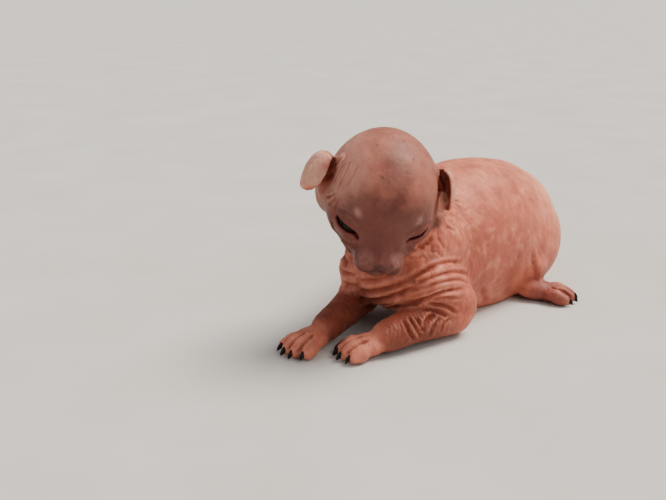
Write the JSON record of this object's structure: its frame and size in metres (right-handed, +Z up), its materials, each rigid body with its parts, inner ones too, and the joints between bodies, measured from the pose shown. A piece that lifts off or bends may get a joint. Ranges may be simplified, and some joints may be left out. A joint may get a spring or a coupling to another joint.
{
  "type": "sphynx kitten",
  "caption": "Hairless kitten lying on its belly with its head lifted and turned to its left, its forelegs reaching forward, its hind feet splayed and its tail curled on the floor.",
  "frame": {"origin": "on the floor under the belly, between the left and right sides of the trunk", "axes": "+Z up, -Y the way the trunk points (head end), +X the kitten's left side"},
  "size_m": [0.0871, 0.172, 0.0745],
  "materials": {
    "face_skin": "matt skin with a faint sheen",
    "body_skin": "matt skin with a faint sheen",
    "eyeball": "wet"
  },
  "bodies": {
    "root": {"head": "face_skin", "ear_left": "body_skin", "ear_right": "body_skin", "eye_left": "eyeball", "eye_right": "eyeball", "neck": "body_skin", "torso": "body_skin", "foreleg_left": "body_skin", "foreleg_right": "body_skin", "forepaw_left": "body_skin", "forepaw_right": "body_skin", "hindleg_left": "body_skin", "hindleg_right": "body_skin", "hindpaw_left": "body_skin", "hindpaw_right": "body_skin", "tail": "body_skin"}
  },
  "joints": []
}
